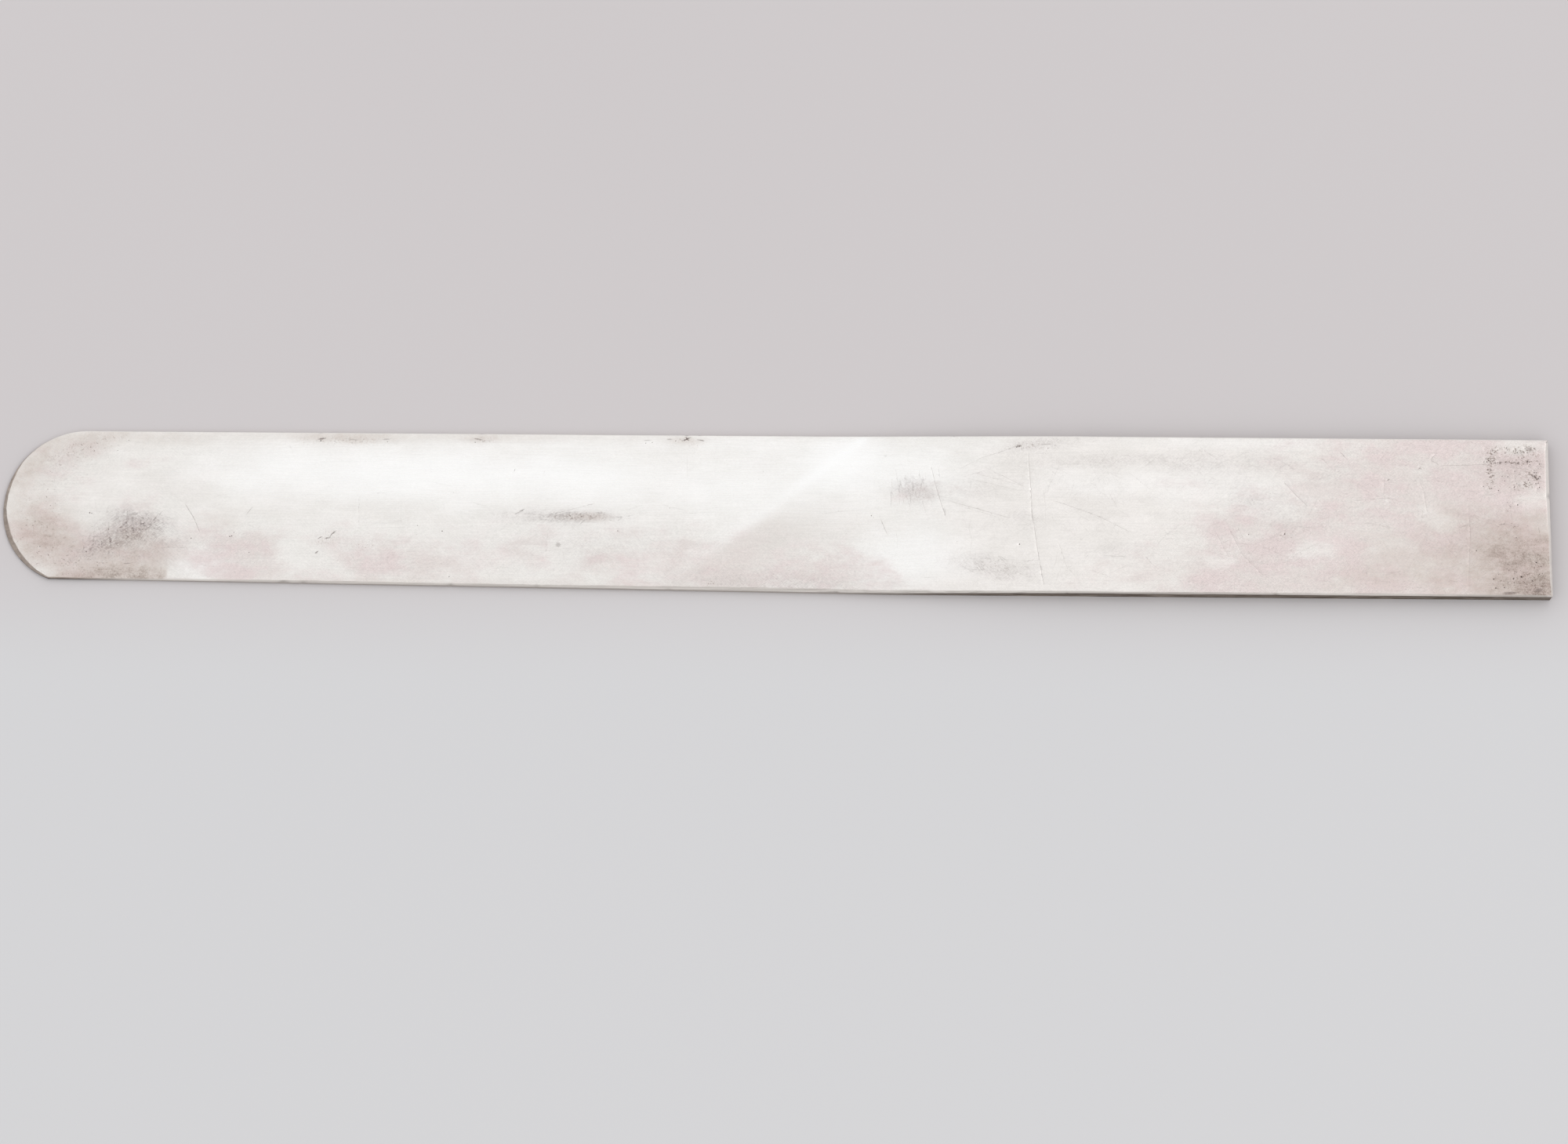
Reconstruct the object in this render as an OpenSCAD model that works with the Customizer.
// One-piece ink knife, ground from a single length of flat steel bar.
// The square-ended half is left at full thickness as a stiff handle. The other half is
// ground thin on the front face as a springy blade and ends in a full round nose.
// The lower long edge of the blade has been worn back, so it runs up towards the nose
// and meets the nose at a shallow corner.
// The knife lies on its back face. +X runs from the nose to the square end, +Y to the
// straight upper edge, +Z up out of the front face. The origin is the middle of the back face.

/* [Bar] */
// Overall length, from the nose to the square end
length = 304.8; // [260:0.1:340]
// Width of the bar
width = 31.75; // [29:0.05:34]
// Radius of the two corners of the square end, seen from the front
corner_radius = 0.3; // [0.2:0.1:1.5]

/* [Outline of the blade] */
// Distance from the middle of the knife to the place where the lower edge starts to be worn back
wear_x = 21.5; // [5:0.5:35]
// How far the lower edge has been worn back for each millimetre along the blade
wear_slope = 0.011; // [0.004:0.001:0.016]
// How far the foremost point of the nose lies below the bar's centre line
nose_drop = 0.4; // [0.1:0.1:0.8]
// Angle of the corner where the worn edge meets the nose
heel_angle = 20; // [10:1:28]

/* [Thickness] */
// Thickness of the handle
handle_thick = 3.2; // [2.8:0.1:3.6]
// Length of the full-thickness handle, from the square end
handle_len = 90; // [80:1:100]
// Length over which the front face sweeps down from the handle to the blade
sweep_len = 60; // [50:1:70]
// Thickness of the blade where the sweep ends
root_thick = 1.5; // [1.3:0.1:1.8]
// Thickness of the blade at the nose, before its bevel
nose_thick = 0.9; // [0.8:0.05:1.2]

/* [Edges] */
// Width of the bevel worn along the lower long edge
lower_bevel = 0.5; // [0.3:0.05:0.7]
// Width of the bevel along the upper long edge
upper_bevel = 0.2; // [0.15:0.05:0.3]
// Width of the bevel across the square end
end_bevel = 0.45; // [0.2:0.05:0.6]
// Width of the scraping bevel at the nose
nose_bevel = 0.75; // [0.5:0.05:0.9]
// Width of the scraping bevel below the nose, where the knife has done most of its work
heel_bevel = 1.0; // [0.7:0.05:1.1]
// Depth of every bevel as a share of its width
bevel_depth = 0.5; // [0.4:0.05:0.6]

/* [Hidden] */

// How far tools and cuts reach past the shape they work on
clear = 1;
bevel_angle = atan(bevel_depth);
square_end_x = length / 2;
nose_x = -length / 2;

// The upper quarter of the nose is tangent to the upper edge
upper_radius = width / 2 + nose_drop;
upper_centre_x = nose_x + upper_radius;

// Distance of the lower edge from the centre line at any x
function lower_edge(x) = width / 2 - wear_slope * max(0, wear_x - x);
// The lower quarter of the nose has the radius at which the worn edge cuts it at heel_angle,
// so its centre is lower_radius * cos(heel_angle) from that edge
lower_radius = (lower_edge(nose_x) - nose_drop)
    / (cos(heel_angle) / cos(atan(wear_slope)) - wear_slope);
lower_centre_x = nose_x + lower_radius;

// The facets of the scraping bevel: direction of the widest place, in degrees from -X
// towards -Y, and how fast the facet narrows to either side of it
nose_facet_dir = 0;
nose_facet_fade = 2.8;
heel_facet_dir = 25;
heel_facet_fade = 3.1;

// Height of the front face at any x: flat handle, S-shaped sweep, straight blade
handle_x = square_end_x - handle_len;
root_x = handle_x - sweep_len;
blade_slope = (root_thick - nose_thick) / (root_x - nose_x);
function front_z(x) =
    let (share = (x - root_x) / sweep_len)
    share >= 1 ? handle_thick
    : share > 0 ? root_thick + (handle_thick - root_thick) * share * share * (3 - 2 * share)
    : root_thick + blade_slope * (x - root_x);

// The sweep is made in flats. These are their ends, from the square end to the nose.
flats = 10;
knees = concat(
    [square_end_x + clear],
    [for (i = [0:flats]) handle_x - sweep_len * i / flats],
    [nose_x - clear]
);
// The same places with the start of the wear among them
wear_knees = concat(
    [for (x = knees) if (x > wear_x) x],
    [wear_x],
    [for (x = knees) if (x < wear_x) x]
);
// Front face as [x, z] points
front_line = [for (x = knees) [x, front_z(x)]];
// Height of the flats at any x, also between their ends
function flat_z(x) = lookup(x, front_line);

// The part of an upright disc that lies to the left of its centre, above (side = 1) or below
// (side = -1) the foremost point of the nose, and a little beyond the centre
module nose_quarter(centre_x, radius, side, height) {
    intersection() {
        translate([centre_x, -nose_drop, 0]) cylinder(h = height, r = radius, $fn = 180);
        translate([centre_x + clear - length, -nose_drop - (side > 0 ? 0 : length), -clear])
            cube([length, length, height + 2 * clear]);
    }
}

// The bar with its rounded nose and square end, before the wear
module unworn_plan(height) {
    corner_x = square_end_x - corner_radius;
    corner_y = width / 2 - corner_radius;
    nose_quarter(upper_centre_x, upper_radius, 1, height);
    nose_quarter(lower_centre_x, lower_radius, -1, height);
    linear_extrude(height)
        polygon([
            [upper_centre_x, width / 2], [corner_x, width / 2],
            [corner_x, corner_y], [square_end_x, corner_y],
            [square_end_x, -corner_y], [corner_x, -corner_y],
            [corner_x, -width / 2], [lower_centre_x, -width / 2],
            [lower_centre_x, -nose_drop], [upper_centre_x, -nose_drop]
        ]);
    for (side = [-1, 1])
        translate([corner_x, side * corner_y, 0])
            cylinder(h = height, r = corner_radius, $fn = 48);
}

// The knife's outline, seen from the front, standing height high
module plan(height) {
    intersection() {
        union() unworn_plan(height);
        // Everything above the worn lower edge
        translate([0, 0, -clear])
            linear_extrude(height + 2 * clear)
                polygon([
                    [wear_x, -width / 2], [length, -width / 2], [length, width],
                    [-length, width], [-length, -lower_edge(-length)]
                ]);
    }
}

// Everything under a line of [x, z] points, as a wide bar lying along Y
module under(line) {
    bottom = -3 * width;
    rotate([90, 0, 0])
        linear_extrude(4 * width, center = true)
            polygon(concat(
                line,
                [[nose_x - clear, bottom], [square_end_x + clear, bottom]]
            ));
}

// Everything under the bevel of one long edge. side is 1 for the upper edge and -1 for the
// lower edge. edge is a list of [x, distance from the centre line]. The bevel follows both
// the front face and the edge's own outline.
module under_bevel(side, bevel, edge) {
    rotate([-side * bevel_angle, 0, 0])
        under([
            for (place = edge)
                [place.x, (flat_z(place.x) + bevel_depth * (place.y - bevel)) * cos(bevel_angle)]
        ]);
}

// Everything under a bevel across the square end
module under_end_bevel() {
    past_end = 5;
    translate([square_end_x - end_bevel, 0, handle_thick])
        rotate([0, bevel_angle, 0])
            translate([-2 * length, -width, -length])
                cube([2 * length + past_end, 2 * width, length]);
}

// One facet of the scraping bevel: what lies outside a cone that stands square to the blade.
// The facet is bevel wide in the direction dir and narrows to either side, faster with a
// larger fade. centre_x and radius are those of the nose's own arc.
module nose_facet(centre_x, radius, bevel, dir, fade) {
    // Cone radius at the front face, and the cone's reach below and above that face
    face_radius = radius + fade - bevel;
    below = 2;
    above = 3;
    // The block cut away: reach past the arc, depth below the face and height
    reach = radius + 3;
    block_below = 1.5;
    block_height = 4;
    translate([centre_x, -nose_drop, flat_z(centre_x)])
        rotate([0, -atan(blade_slope), 0])
            difference() {
                translate([-reach, -reach, -block_below]) cube([reach, 2 * reach, block_height]);
                translate([fade * cos(dir), fade * sin(dir), -below])
                    cylinder(
                        h = below + above,
                        r1 = face_radius + below / bevel_depth,
                        r2 = face_radius - above / bevel_depth,
                        $fn = 180
                    );
            }
}

module blade() {
    color([0.87, 0.86, 0.84])
        difference() {
            intersection() {
                plan(handle_thick + clear);
                under(front_line);
                under_bevel(1, upper_bevel, [for (x = knees) [x, width / 2]]);
                under_bevel(-1, lower_bevel, [for (x = wear_knees) [x, lower_edge(x)]]);
                under_end_bevel();
            }
            nose_facet(upper_centre_x, upper_radius, nose_bevel, nose_facet_dir, nose_facet_fade);
            nose_facet(lower_centre_x, lower_radius, heel_bevel, heel_facet_dir, heel_facet_fade);
        }
}

blade();
